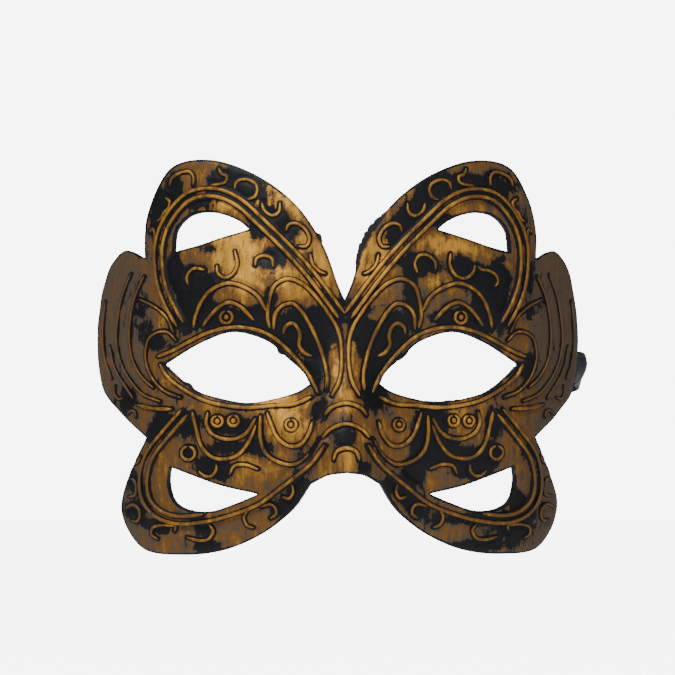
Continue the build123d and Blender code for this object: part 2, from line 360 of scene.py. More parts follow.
def dense(loop):
    """A closed loop with extra points laid in along its straight runs."""
    rows = []
    for a, b in zip(loop, np.roll(loop, -1, axis=0)):
        count = max(int(np.linalg.norm(b - a) / EDGE_PITCH), 1)
        rows.append(a + (b - a) * (np.arange(count) / count)[:, None])
    return np.vstack(rows)


def on_board(points, loops):
    """Which places lie on the board: inside the outline and outside every hole."""
    x, z = points[:, 0], points[:, 1]
    odd = np.zeros(len(points), bool)
    for loop in loops:
        for (ax, az), (bx, bz) in zip(loop, np.roll(loop, -1, axis=0)):
            if az == bz:
                continue
            odd ^= ((az > z) != (bz > z)) & (x < ax + (z - az) * (bx - ax) / (bz - az))
    return odd


def longest_run(keep):
    """Start and end of the longest unbroken run of True."""
    best = (0, 0)
    start = None
    for i, value in enumerate([*keep, False]):
        if value and start is None:
            start = i
        if not value and start is not None:
            if i - start > best[1] - best[0]:
                best = (start, i)
            start = None
    return best


# ---- settings ----
class MaskShape(bpy.types.PropertyGroup):
    pitch: bpy.props.FloatProperty(
        name="Mesh pitch", description="Spacing of the shell's mesh, mm", default=0.66, min=0.4)
    felt_pitch: bpy.props.FloatProperty(
        name="Felt pitch", description="Spacing of the lining's mesh, mm", default=1.6, min=0.4)
    shell: bpy.props.FloatProperty(
        name="Shell thickness", description="Moulded board, mm", default=1.7, min=0.5)
    felt: bpy.props.FloatProperty(
        name="Felt thickness", description="Lining, mm", default=0.55, min=0.2)
    heavy: bpy.props.FloatProperty(
        name="Heavy strand", description="Radius of the heavy strands, mm", default=0.66, min=0.2)
    fine: bpy.props.FloatProperty(
        name="Fine strand", description="Radius of the small scrolls, mm", default=0.56, min=0.2)
    ridge: bpy.props.FloatProperty(
        name="Ridge height", description="How far the wing ridges stand up, mm",
        default=0.9, min=0.0)
    ridge_gap: bpy.props.FloatProperty(
        name="Ridge gap", description="Half the spacing of a ridge's two strands, mm",
        default=1.4, min=0.0)


class MaskFinish(bpy.types.PropertyGroup):
    gold: bpy.props.FloatVectorProperty(
        name="Gold", description="Rubbed gold on the high spots", subtype="COLOR",
        default=(0.76, 0.385, 0.060), min=0, max=1)
    bronze: bpy.props.FloatVectorProperty(
        name="Bronze", description="Thin gold over the lacquer", subtype="COLOR",
        default=(0.218, 0.100, 0.024), min=0, max=1)
    # Umber is the gold at its lowest strength: the duller gold at the temples, with the painted
    # shade there.
    umber: bpy.props.FloatVectorProperty(
        name="Umber", description="Dull gold at the temples", subtype="COLOR",
        default=(0.112, 0.078, 0.050), min=0, max=1)
    lacquer: bpy.props.FloatVectorProperty(
        name="Lacquer", description="Blue-black ground", subtype="COLOR",
        default=(0.0052, 0.0056, 0.0085), min=0, max=1)
    felt: bpy.props.FloatVectorProperty(
        name="Felt", description="Lining and patches", subtype="COLOR",
        default=(0.012, 0.012, 0.015), min=0, max=1)
    satin: bpy.props.FloatVectorProperty(
        name="Satin", description="Ribbon", subtype="COLOR",
        default=(0.008, 0.009, 0.018), min=0, max=1)


class MaskStage(bpy.types.PropertyGroup):
    distance: bpy.props.FloatProperty(
        name="Camera distance", description="From the mask's nose", default=1.1, unit="LENGTH")
    azimuth: bpy.props.FloatProperty(
        name="Azimuth", description="Turn of the camera round the mask", subtype="ANGLE",
        default=math.radians(-2.5))
    lens: bpy.props.FloatProperty(name="Lens", description="Focal length, mm", default=161.3)


# ---- small helpers ----
def fresh_start():
    """Object mode, with nothing selected."""
    if bpy.context.object and bpy.context.object.mode != "OBJECT":
        bpy.ops.object.mode_set(mode="OBJECT")
    bpy.ops.object.select_all(action="DESELECT")


def pick(obj):
    fresh_start()
    obj.select_set(True)
    bpy.context.view_layer.objects.active = obj


def apply_all(obj):
    """Apply every modifier."""
    pick(obj)
    for modifier in list(obj.modifiers):
        bpy.ops.object.modifier_apply(modifier=modifier.name)


def places_of(mesh):
    """Every vertex's place, as an (n, 3) array."""
    co = np.empty(len(mesh.vertices) * 3)
    mesh.vertices.foreach_get("co", co)
    return co.reshape(-1, 3)


def set_places(mesh, co):
    mesh.vertices.foreach_set("co", np.asarray(co, float).ravel())
    mesh.update()


def write_values(mesh, name, values):
    """Store one number per vertex, for the materials to read."""
    attribute = mesh.attributes.get(name) or mesh.attributes.new(name, "FLOAT", "POINT")
    attribute.data.foreach_set("value", np.asarray(values, np.float32))


def curve_object(name, courses, **options):
    """A curve of straight-run splines; each course is (points, closed, radii)."""
    data = bpy.data.curves.new(name, "CURVE")
    for key, value in options.items():
        setattr(data, key, value)
    for points, closed, radii in courses:
        spline = data.splines.new("POLY")
        spline.points.add(len(points) - 1)
        for point, place, radius in zip(spline.points, points, radii):
            point.co = (*place, 1.0)
            point.radius = radius
        spline.use_cyclic_u = closed
    obj = bpy.data.objects.new(name, data)
    bpy.context.collection.objects.link(obj)
    return obj


def to_mesh(obj):
    pick(obj)
    bpy.ops.object.convert(target="MESH")
    return bpy.context.object


def thicken(obj, name, thickness, offset=-1):
    """Give a sheet its thickness in millimetres: behind its face, or to both sides at offset 0."""
    solid = obj.modifiers.new(name, "SOLIDIFY")
    solid.thickness = thickness * MM
    solid.offset = offset
    solid.use_rim = True
    apply_all(obj)


def finish_piece(obj, material, body=None, angle=60):
    """Material, shading, slot and body of a finished piece."""
    obj.data.materials.clear()
    obj.data.materials.append(material)
    pick(obj)
    bpy.ops.object.shade_smooth_by_angle(angle=math.radians(angle))
    if body:
        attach(obj, body)


# ---- shader groups ----
def new_group(name, inputs, outputs):
    """An empty node group, with its input and output nodes."""
    tree = bpy.data.node_groups.new(name, "ShaderNodeTree")
    for socket, kind, default in inputs:
        made = tree.interface.new_socket(name=socket, in_out="INPUT", socket_type=kind)
        if default is not None:
            made.default_value = default
    for socket, kind in outputs:
        tree.interface.new_socket(name=socket, in_out="OUTPUT", socket_type=kind)
    return tree, tree.nodes.new("NodeGroupInput"), tree.nodes.new("NodeGroupOutput")


def set_inputs(tree, node, values):
    """Link or set a node's inputs, each given by its name or its number."""
    for key, value in values.items():
        if isinstance(value, bpy.types.NodeSocket):
            tree.links.new(value, node.inputs[key])
        else:
            node.inputs[key].default_value = value


def noise(tree, vector, scale, detail, rough, distortion=0.0, stretch=None, turn=0.0):
    """Noise from 0 to 1, drawn out along an axis where a stretch is given."""
    if stretch:
        mapping = tree.nodes.new("ShaderNodeMapping")
        set_inputs(tree, mapping, {"Scale": stretch, "Rotation": (0, turn, 0), "Vector": vector})
        vector = mapping.outputs["Vector"]
    node = tree.nodes.new("ShaderNodeTexNoise")
    set_inputs(tree, node, {"Scale": scale, "Detail": detail, "Roughness": rough,
                            "Distortion": distortion, "Vector": vector})
    return node.outputs["Fac"]


def math_node(tree, operation, a, b=None, clamp=False):
    node = tree.nodes.new("ShaderNodeMath")
    node.operation = operation
    node.use_clamp = clamp
    set_inputs(tree, node, {0: a} if b is None else {0: a, 1: b})
    return node.outputs[0]


def sum_of(tree, *terms):
    """Sum of values, each multiplied by its weight."""
    total = None
    for value, weight in terms:
        part = math_node(tree, "MULTIPLY", value, weight)
        total = part if total is None else math_node(tree, "ADD", total, part)
    return total


def ramp(tree, value, low, high, out_low=0.0, out_high=1.0):
    """A soft step from one output to the other between two values."""
    node = tree.nodes.new("ShaderNodeMapRange")
    node.interpolation_type = "SMOOTHSTEP"
    set_inputs(tree, node, {"From Min": low, "From Max": high, "To Min": out_low,
                            "To Max": out_high, "Value": value})
    return node.outputs["Result"]


def blend_colour(tree, factor, a, b):
    """Colour a, giving way to colour b as the factor rises."""
    node = tree.nodes.new("ShaderNodeMix")
    node.data_type = "RGBA"
    a, b = (c if isinstance(c, bpy.types.NodeSocket) else (*c, 1.0) for c in (a, b))
    set_inputs(tree, node, {0: factor, 6: a, 7: b})
    return node.outputs[2]


def patina_group():
    """Dry-brushed gold: how much gold lies at a place, how bright it is, and the brush marks, with
    painted shade beside the strands and along the cut edges.
    """
    if "Patina" in bpy.data.node_groups:
        return bpy.data.node_groups["Patina"]
    tree, given, result = new_group(
        "Patina",
        [("Vector", "NodeSocketVector", None), ("Cover", "NodeSocketFloat", 0.5),
         ("Bare", "NodeSocketFloat", 0.0), ("Gilt_And_Light", "NodeSocketFloat", 0.5),
         ("Near", "NodeSocketFloat", 6.0), ("Edge", "NodeSocketFloat", 6.0)],
        [("Gold", "NodeSocketFloat"), ("Bright", "NodeSocketFloat"), ("Height", "NodeSocketFloat"),
         ("Roughness", "NodeSocketFloat")],
    )
    vector, cover, bare, gilt_and_light, near, edge = given.outputs[:6]
    patches = noise(tree, vector, 150, 8, 0.68, 0.6)
    strokes = noise(tree, vector, 420, 5, 0.7, 0.2, stretch=(1.0, 1.0, 0.16), turn=0.35)
    cross_strokes = noise(tree, vector, 380, 4, 0.7, 0.2, stretch=(0.18, 1.0, 1.0), turn=0.5)
    grain = noise(tree, vector, 1700, 3, 0.6)
    # Painted shade: a dark band in the crease beside each strand, partly lacquer left there; it
    # also dims the gold further down.
    crease_shade = ramp(tree, sum_of(tree, (near, 1.0), (patches, 0.5)), 1.05, 1.6, 1.0, 0.0)
    # Painted shade along the cut edges of the board and its holes.
    rim_shade = ramp(tree, sum_of(tree, (edge, 1.0), (patches, -0.9)), -0.1, 0.75, 0.9, 0.0)
    scratches = ramp(tree, strokes, 0.30, 0.40, 0.40, 0.0)
    mixed = sum_of(tree, (patches, 1.3), (strokes, 0.8), (cross_strokes, 0.4), (cover, 0.7),
                   (bare, -0.85), (crease_shade, -0.62), (rim_shade, -0.5), (scratches, -1.0))
    gold = ramp(tree, mixed, 1.20, 1.34)
    worn = math_node(tree, "SUBTRACT", strokes, 0.5)
    tones = math_node(tree, "SUBTRACT", patches, 0.5)
    thin = ramp(tree, mixed, 1.3, 1.7, 0.28, 0.0)
    bright = sum_of(tree, (gilt_and_light, 1.0), (worn, 1.3), (crease_shade, -0.3), (tones, 0.9))
    bright = math_node(tree, "SUBTRACT", bright, thin, clamp=True)
    height = sum_of(tree, (strokes, 0.6), (grain, 0.3), (gold, 0.3))
    rough = sum_of(tree, (strokes, 0.2), (grain, 0.12))
    for value, socket in zip((gold, bright, height, rough), result.inputs):
        tree.links.new(value, socket)
    return tree


def felt_group():
    """Matted fibre: colour mask and height."""
    tree, given, result = new_group(
        "Matted Fibre", [("Vector", "NodeSocketVector", None)],
        [("Mask", "NodeSocketFloat"), ("Height", "NodeSocketFloat")])
    fibre = noise(tree, given.outputs["Vector"], 2600, 4, 0.7, 1.2)
    lumps = noise(tree, given.outputs["Vector"], 240, 3, 0.5)
    tree.links.new(sum_of(tree, (fibre, 0.7), (lumps, 0.3)), result.inputs["Mask"])
    tree.links.new(math_node(tree, "ADD", fibre, lumps), result.inputs["Height"])
    return tree


def material_of(name, dress):
    """The named material, made and dressed when it is first asked for."""
    material = bpy.data.materials.get(name)
    if material is None:
        material = bpy.data.materials.new(name)
        material.use_nodes = True
        tree = material.node_tree
        shader = next(n for n in tree.nodes if n.type == "BSDF_PRINCIPLED")
        dress(tree, shader, bpy.context.scene.mask_finish)
    return material


def add_group(tree, group, vector):
    node = tree.nodes.new("ShaderNodeGroup")
    node.node_tree = group
    tree.links.new(vector, node.inputs["Vector"])
    return node


def object_vector(tree):
    return tree.nodes.new("ShaderNodeTexCoord").outputs["Object"]


def read_value(tree, name):
    node = tree.nodes.new("ShaderNodeAttribute")
    node.attribute_name = name
    return node.outputs["Fac"]


def add_bump(tree, shader, height, distance, strength):
    bump = tree.nodes.new("ShaderNodeBump")
    set_inputs(tree, bump, {"Distance": distance, "Strength": strength, "Height": height})
    tree.links.new(bump.outputs["Normal"], shader.inputs["Normal"])


def gilded(tree, shader, finish):
    """Gold rubbed over blue-black lacquer, driven by the paint values on the mesh, which carry
    painted light and shade as well.
    """
    patina = add_group(tree, patina_group(), object_vector(tree))
    for socket in ("Cover", "Bare", "Gilt_And_Light", "Near", "Edge"):
        tree.links.new(read_value(tree, socket.lower()), patina.inputs[socket])
    bright = patina.outputs["Bright"]
    dull = blend_colour(tree, ramp(tree, bright, 0.0, 0.45), finish.umber, finish.bronze)
    metal = blend_colour(tree, ramp(tree, bright, 0.40, 1.0), dull, finish.gold)
    shine = ramp(tree, bright, 0.0, 0.8, 0.1, 0.55)
    set_inputs(tree, shader, {
        "Base Color": blend_colour(tree, patina.outputs["Gold"], finish.lacquer, metal),
        "Metallic": math_node(tree, "MULTIPLY", patina.outputs["Gold"], shine),
        "Roughness": math_node(tree, "ADD", patina.outputs["Roughness"], 0.32),
        "Specular IOR Level": 0.28})
    add_bump(tree, shader, patina.outputs["Height"], 0.0004, 0.9)


def felt(tree, shader, finish):
    """Black felt: soft sheen and matted fibres."""
    fibre = add_group(tree, felt_group(), object_vector(tree))
    lighter = [c * 3.2 + 0.004 for c in finish.felt]
    worn = ramp(tree, fibre.outputs["Mask"], 0.35, 0.75)
    set_inputs(tree, shader, {
        "Base Color": blend_colour(tree, worn, finish.felt, lighter), "Roughness": 0.95,
        "Specular IOR Level": 0.2, "Sheen Weight": 0.35, "Sheen Roughness": 0.6})
    add_bump(tree, shader, fibre.outputs["Height"], 0.0003, 1.0)


def satin(tree, shader, finish):
    """Satin ribbon: fine floats, and painted sheen in lighter streaks along its length."""
    uv = tree.nodes.new("ShaderNodeUVMap")
    uv.uv_map = "length_width"
    split = tree.nodes.new("ShaderNodeSeparateXYZ")
    tree.links.new(uv.outputs["UV"], split.inputs["Vector"])
    weft = math_node(tree, "SINE", math_node(tree, "MULTIPLY", split.outputs["X"], 9000.0))
    warp = math_node(tree, "SINE", math_node(tree, "MULTIPLY", split.outputs["Y"], 14000.0))
    weave = sum_of(tree, (weft, 0.3), (warp, 1.0))
    streak = noise(tree, uv.outputs["UV"], 500, 3, 0.6, 0.0, stretch=(0.06, 1.0, 1.0))
    # Painted sheen: a lighter colour in streaks along the ribbon.
    sheen_colour = [c * 2.4 + 0.004 for c in finish.satin]
    sheen_streaks = ramp(tree, streak, 0.35, 0.7)
    rough = math_node(tree, "ADD", math_node(tree, "MULTIPLY", streak, 0.18), 0.26)
    set_inputs(tree, shader, {
        "Base Color": blend_colour(tree, sheen_streaks, finish.satin, sheen_colour), "Roughness": rough,
        "Sheen Weight": 0.2})
    add_bump(tree, shader, weave, 0.00003, 0.5)


def paper(tree, shader, finish):
    """Pale paper that looks brighter than the light it gives."""
    set_inputs(tree, shader, {"Base Color": (0.93, 0.93, 0.93, 1), "Roughness": 0.9,
                              "Emission Color": (1, 1, 1, 1)})
    glow_where_seen(tree, shader.inputs["Emission Strength"], 0.2, 6.6)


def glow_where_seen(tree, strength, unseen, seen):
    """Set a strength to one value where the camera looks, and another for all other light."""
    looking = tree.nodes.new("ShaderNodeLightPath").outputs["Is Camera Ray"]
    tree.links.new(ramp(tree, looking, 0.0, 1.0, unseen, seen), strength)


# ---- relief and paint ----
TEMPLE_THIN = 0.72    # the temple's lines, as a share of a fine strand
SIDE_BLEND = 3.0      # width over which one side's paint gives way to the other's
BLOB_SPREAD = 1.2     # how far a blob of paint spreads past its half sizes
FAR = 6.0             # beyond this distance an edge or a strand no longer matters


def relief_courses():
    """Every strand of the relief: {piece name: [(course, radius), ...]}."""
    shape = bpy.context.scene.mask_shape
    pieces = {}
    for word, side in SIDES.items():
        for name, course in (("upper_ridge", UPPER_RIDGE), ("lower_ridge", LOWER_RIDGE)):
            pair = [beside(course, shift) for shift in (-shape.ridge_gap, shape.ridge_gap)]
            pieces[f"{name}_{word}"] = [(points * (side, 1), shape.heavy) for points in pair]
        for table, radius in ((HEAVY, shape.heavy), (FINE, shape.fine)):
            for name, strands in table.items():
                if (name, word) == ("brow_scrolls", "right"):
                    strands = RIGHT_BROW_SCROLLS
                thin = TEMPLE_THIN if name == "temple_lines" else 1.0
                pieces[f"{name}_{word}"] = [
                    (smooth_course(mirrored(points, side), STRAND_PITCH), radius * thin)
                    for points in strands]
    pieces["nose_relief"] = [
        (smooth_course(points, STRAND_PITCH), shape.heavy) for points in NOSE_ARCHES]
    return {name: clipped(strands) for name, strands in pieces.items()}


def clipped(strands):
    """The strands with any part that would run off the board left out."""
    loops = plan_loops()
    edge = np.vstack([dense(loop) for loop in loops])
    kept = []
    for course, radius in strands:
        room = distance_to(edge, course)
        first, last = longest_run(on_board(course, loops) & (room > radius))
        if last - first > 3:
            kept.append((course[first:last], radius))
    return kept


def distance_to(samples, places):
    """Distance in the front view from each place to the nearest sample, in millimetres."""
    tree = KDTree(len(samples))
    for i, (x, z) in enumerate(samples):
        tree.insert((x, z, 0), i)
    tree.balance()
    return np.array([tree.find((x, z, 0))[2] for x, z in places])


def blobs(x, z, tables):
    """How strongly each place is covered by its own side's blobs, 0 to 1."""
    total = np.zeros_like(x)
    for word, side in SIDES.items():
        own = np.clip(0.5 + side * x / SIDE_BLEND, 0, 1)
        for x_mid, z_mid, half_width, half_height, amount in tables[word]:
            far = ((side * x - x_mid) / (BLOB_SPREAD * half_width)) ** 2
            far = far + ((z - z_mid) / (BLOB_SPREAD * half_height)) ** 2
            total += own * amount * np.exp(-far)
    return np.clip(total, 0, 1)


def paint(mesh, x, z, near, to_edge, lift=0.0):
    """Paint values: gold cover, bare lacquer, strength of the gold with painted light and shade in
    it, and the places of the painted shade beside the strands.
    """
    # Heavier gold, partly painted highlight.
    gilt_and_highlight = blobs(x, z, GILT_AND_HIGHLIGHT)
    temple = np.clip((np.abs(x) - 66) / 14, 0, 1)
    low = np.clip((-z - 30) / 25, 0, 1)
    right = np.clip(x / 20, 0, 1)
    # Strength of the gold: duller gold at the temples, with painted shade there where the sides
    # turn from the light; darker towards the bottom and on the right side.
    gilt_and_light = 0.46 + 0.5 * gilt_and_highlight - 0.40 * temple - 0.10 * low - 0.08 * right + lift
    write_values(mesh, "cover", 0.5 + 0.35 * gilt_and_highlight + lift)
    write_values(mesh, "bare", blobs(x, z, BARE))
    write_values(mesh, "gilt_and_light", np.clip(gilt_and_light, 0, 1))
    # Where the painted shade beside the strands falls, narrower at the temples.
    write_values(mesh, "near", np.minimum(near + 0.35 * temple, FAR))
    write_values(mesh, "edge", np.minimum(to_edge, FAR))


# ---- pieces ----
SHEET_SIZE = 192      # the flat sheet that a skin is cut from
WELD = 0.12           # points nearer than this become one
RIDGE_TOP, RIDGE_FALL = 1.3, 1.5
GROOVE_DEPTH, GROOVE_AT, GROOVE_WIDTH = 0.30, 1.05, 0.5
EDGE_DROP, EDGE_REACH = 0.45, 0.8
WAVES, WAVE_HEIGHT = 8, 0.04
STRAND_LIFT = 0.25    # how far a strand's middle stands off the board, as a share of its radius
TIP, TAPER = 0.35, 2.2
DOT_RADIUS, DOT_LIFT = 0.95, 0.1
GLUE = 0.05           # how far the felt is pressed into the board
FELT_INSET = 0.25
FELT_FADE = 1.3


def flat_plan(name, loops, pitch):
    """A flat gridded sheet inside the loops: X across, Y up."""
    count = int(SHEET_SIZE / pitch)
    fresh_start()
    bpy.ops.mesh.primitive_grid_add(x_subdivisions=count, y_subdivisions=count, size=SHEET_SIZE)
    sheet = bpy.context.object
    sheet.name = name
    courses = [([(x, z, 0) for x, z in loop], True, [1.0] * len(loop)) for loop in loops]
    cutter = to_mesh(curve_object(
        "plan_cutter", courses, dimensions="2D", fill_mode="BOTH", extrude=5.0))
    trim = sheet.modifiers.new("trim", "BOOLEAN")
    trim.operation = "INTERSECT"
    trim.solver = "EXACT"
    trim.object = cutter
    apply_all(sheet)
    bpy.data.objects.remove(cutter)
    # The cut leaves parts of the cutter's own caps above and below the sheet: they go.
    off_plane = np.abs(places_of(sheet.data)[:, 2]) > 0.01
    pick(sheet)
    bpy.ops.object.mode_set(mode="EDIT")
    bpy.ops.mesh.select_mode(type="VERT")
    bpy.ops.mesh.select_all(action="DESELECT")
    bpy.ops.object.mode_set(mode="OBJECT")
    sheet.data.vertices.foreach_set("select", off_plane)
    bpy.ops.object.mode_set(mode="EDIT")
    bpy.ops.mesh.delete(type="VERT")
    bpy.ops.mesh.select_all(action="SELECT")
    bpy.ops.mesh.remove_doubles(threshold=WELD)
    bpy.ops.object.mode_set(mode="OBJECT")
    return sheet


class MASK_OT_shell(bpy.types.Operator):
    """Mould the shell with its ridges, and paint it"""
    bl_idname = "mask.shell"
    bl_label = "Shell"

    def execute(self, context):
        shape = context.scene.mask_shape
        loops = plan_loops()
        sheet = flat_plan("moulded_shell", loops, shape.pitch)
        flat = places_of(sheet.data)[:, :2]
        x, z = flat.T
        strands = [smooth_course(course, COURSE_PITCH)
                   for group in relief_courses().values() for course, _ in group]
        near = distance_to(np.vstack(strands), flat)
        ridges = [smooth_course(mirrored(course, side), COURSE_PITCH)
                  for course in (UPPER_RIDGE, LOWER_RIDGE) for side in SIDES.values()]
        to_ridge = distance_to(np.vstack(ridges), flat)
        to_edge = distance_to(np.vstack([dense(loop) for loop in loops]), flat)
        fall = np.clip((to_ridge - RIDGE_TOP) / RIDGE_FALL, 0, 1)
        lift = shape.ridge * (1 - eased(fall))
        lift -= GROOVE_DEPTH * np.exp(-((near - GROOVE_AT) / GROOVE_WIDTH) ** 2)
        lift -= EDGE_DROP * np.exp(-(to_edge / EDGE_REACH) ** 2)
        rng = np.random.default_rng(7)
        for _ in range(WAVES):
            across, up, start = rng.uniform(0.12, 0.5), rng.uniform(-0.5, 0.5), rng.uniform(0, 6.3)
            lift += WAVE_HEIGHT * np.sin(x * across + z * up + start)
        set_places(sheet.data, face_point(x, z, lift) * MM)
        paint(sheet.data, x, z, near, to_edge)
        thicken(sheet, "board", shape.shell)
        finish_piece(sheet, material_of("Gilded Board", gilded), "mask", 50)
        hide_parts("face_shell")
        return {"FINISHED"}


class MASK_OT_relief(bpy.types.Operator):
    """Pipe the scrolls, arches, swags and bosses onto the shell"""
    bl_idname = "mask.relief"
    bl_label = "Relief"

    def execute(self, context):
        shape = context.scene.mask_shape
        for name, strands in relief_courses().items():
            courses = []
            on_ridge = "ridge" in name
            for course, radius in strands:
                lift = radius * STRAND_LIFT + (shape.ridge if on_ridge else 0.0)
                path = face_point(course[:, 0], course[:, 1], np.full(len(course), lift)) * MM
                run = length_along(path) / MM
                ends = np.clip(np.minimum(run, run[-1] - run) / TAPER, 0, 1) ** 0.5
                uneven = 1 + 0.08 * np.sin(run * 0.9 + len(courses))
                radii = (TIP + (1 - TIP) * ends) * uneven * radius * MM
                courses.append((path, False, radii))
            obj = to_mesh(curve_object(
                name, courses, dimensions="3D", bevel_depth=1.0, bevel_resolution=2,
                use_fill_caps=True, twist_mode="MINIMUM"))
            self.paint_strands(obj, on_ridge)
            finish_piece(obj, material_of("Gilded Strand", gilded), "mask")
        self.add_dots()
        return {"FINISHED"}

    def paint_strands(self, obj, on_ridge):
        """Gold on the strands' crowns, and painted shade where they meet the board, partly lacquer
        left in the crease.
        """
        co = places_of(obj.data) / MM
        shape = bpy.context.scene.mask_shape
        above = (face_y(co[:, 0], co[:, 2]) - co[:, 1]) - (shape.ridge if on_ridge else 0.0)
        # Painted shade low on each strand, where it meets the board.
        near = 0.95 + np.clip((above - 0.05) * 3.0, 0, 1)
        # The strands get more gold and brighter gold: gold caught on the raised strands, partly
        # painted highlight.
        paint(obj.data, co[:, 0], co[:, 2], near, np.full(len(co), FAR), 0.16)
        write_values(obj.data, "bare", np.zeros(len(co)))

    def add_dots(self):
        """A dot in the middle of each small ring."""
        made = []
        for side in SIDES.values():
            for x, z, _ in BOSSES:
                fresh_start()
                place = face_point([side * x], [z], [DOT_LIFT])[0] * MM
                bpy.ops.mesh.primitive_uv_sphere_add(
                    segments=16, ring_count=10, radius=DOT_RADIUS * MM, location=place)
                made.append(bpy.context.object)
        fresh_start()
        for obj in made:
            obj.select_set(True)
        bpy.context.view_layer.objects.active = made[0]
        bpy.ops.object.join()
        dots = bpy.context.object
        dots.name = "boss_dots"
        bpy.ops.object.transform_apply(location=True, rotation=True, scale=True)
        self.paint_strands(dots, False)
        finish_piece(dots, material_of("Gilded Strand", gilded), "mask")


class MASK_OT_lining(bpy.types.Operator):
    """Line the shell with felt and finish the patches over the ribbon ends"""
    bl_idname = "mask.lining"
    bl_label = "Lining"

    def execute(self, context):
        shape = context.scene.mask_shape
        loops = [self.grown(loop, i > 0) for i, loop in enumerate(plan_loops())]
        sheet = flat_plan("felt_skin", loops, shape.felt_pitch)
        x, z, _ = places_of(sheet.data).T
        fuzz = np.random.default_rng(11).normal(0, 0.03, len(x))
        set_places(sheet.data, face_point(x, z, -shape.shell + GLUE + fuzz) * MM)
        thicken(sheet, "felt", shape.felt)
        finish_piece(sheet, material_of("Black Felt", felt), "mask")
        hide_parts("felt_lining")
        for word in SIDES:
            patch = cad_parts[f"anchor_patch_{word}"]
            patch.data.materials.clear()
            patch.data.materials.append(material_of("Black Felt", felt))
        return {"FINISHED"}

    def grown(self, loop, is_hole):
        """A cut edge of the felt: a shade inside the board's, past it where the felt shows."""
        along = np.roll(loop, -1, axis=0) - np.roll(loop, 1, axis=0)
        out = np.stack([along[:, 1], -along[:, 0]], -1)
        out /= np.maximum(np.linalg.norm(out, axis=1, keepdims=True), 1e-9)
        x, z = loop[:, 0], loop[:, 1]
        area = np.sum(x * np.roll(z, -1) - np.roll(x, -1) * z)
        if (area > 0) == is_hole:
            out = -out
        shift = np.full(len(loop), -FELT_INSET)
        rng = np.random.default_rng(5)
        for x_mid, z_mid, reach, amount in FELT_SHOWS:
            far = np.hypot(x - x_mid, z - z_mid) / reach
            ragged = rng.uniform(0.75, 1.1, len(loop))
            shift += amount * np.clip(FELT_FADE - far, 0, 1) * ragged
        return loop + out * shift[:, None]


# The ribbons' route from their glued ends, over the fold at the mask's edge, to the hank.
FOLD_X = {"left": 91.9, "right": 97.2}
RIBBON_WIDTH = 12.0
RIBBON_THICKNESS = 0.3
HANK_HALF = 28.5
HANK_RUNS = 5
HANK_STEP = 0.6
HANK_Z = -26.0
HANK_Y = 71.0
HANK_GAP = 0.35       # from the hank's middle to each ribbon's first run
EDGE_X = 89.6         # the board's edge at the temple
STRIP_ROWS = 6
DISH = 0.18
FOLD_Y, FOLD_REACH, PINCH = 66, 4, 2.8
WRAP_WIDTH = 9.0
WRAP_LAP = 0.35
WRAP_HALF_Y, WRAP_HALF_Z = 3.75, 6.35
WRAP_CORNERS = [(-1, -0.7), (-1, 0.7), (-0.75, 1), (0.75, 1), (1, 0.7), (1, -0.7), (0.75, -1),
                (-0.75, -1), (-1, -0.7), (-1, 0.2)]


def ribbon_route(word):
    """Centreline of one whole ribbon, glued end first, in millimetres."""
    side, fold = SIDES[word], FOLD_X[word]
    places = [
        (76.5, 34.2, 0), (81, 39.4, 0), (85.5, 48, 0), (89.0, 57.6, 0),
        ((EDGE_X + fold) / 2, 62.4, -0.2), (fold - 0.5, 66, -0.8), (fold - 1.7, 70.6, -2.9),
        (86, 72.4, -6.2), (75, 72.8, -11.8), (61, 72.5, -17.8), (45, 71.9, -22.2),
        (33, 71.3 + 0.2 * side, -25.2)]
    route = [(side * x, y, z) for x, y, z in places]
    heading = side
    for run in range(HANK_RUNS):
        y = HANK_Y + side * (HANK_GAP + HANK_STEP * run)
        lean = 0.5 * math.sin(run * 2.1)
        for t in (0.75, 0.4, 0.0, -0.4, -0.75):
            route.append((heading * HANK_HALF * t, y, HANK_Z + lean * t))
        if run < HANK_RUNS - 1:
            out = HANK_HALF * (1.0 - 0.03 * ((run * 7) % 3))
            route.append((-heading * out, y + side * HANK_STEP / 2, HANK_Z))
        heading = -heading
    return route


def satin_strip(name, course, up, width):
    """A strip of ribbon along a course, its width along `up`, with its own length and width UV."""
    run = length_along(course)
    across = np.linspace(-0.5, 0.5, STRIP_ROWS + 1)
    dish = DISH * np.sin(run * 0.11)[:, None] * (across * across * 4 - 0.5)
    cup = np.cross(unit_along(course), up)
    rows = course[:, None] + up[:, None] * (width * across)[None, :, None]
    rows = rows + cup[:, None] * dish[..., None]
    fresh_start()
    bpy.ops.mesh.primitive_grid_add(
        x_subdivisions=len(course) - 1, y_subdivisions=STRIP_ROWS, size=1)
    obj = bpy.context.object
    obj.name = name
    flat = places_of(obj.data)
    i = np.rint((flat[:, 0] + 0.5) * (len(course) - 1)).astype(int)
    j = np.rint((flat[:, 1] + 0.5) * STRIP_ROWS).astype(int)
    layer = obj.data.uv_layers.active or obj.data.uv_layers.new()
    layer.name = "length_width"
    corner = np.empty(len(obj.data.loops), int)
    obj.data.loops.foreach_get("vertex_index", corner)
    uv = np.stack([run[i] * MM, across[j] * width * MM], -1)[corner]
    obj.data.uv_layers["length_width"].data.foreach_set("uv", uv.astype(np.float32).ravel())
    set_places(obj.data, rows[i, j] * MM)
    thicken(obj, "cloth", RIBBON_THICKNESS, 0)
    return obj


def unit_along(course):
    """Direction of a course at each of its points."""
    along = np.gradient(course, axis=0)
    return along / np.linalg.norm(along, axis=1, keepdims=True)


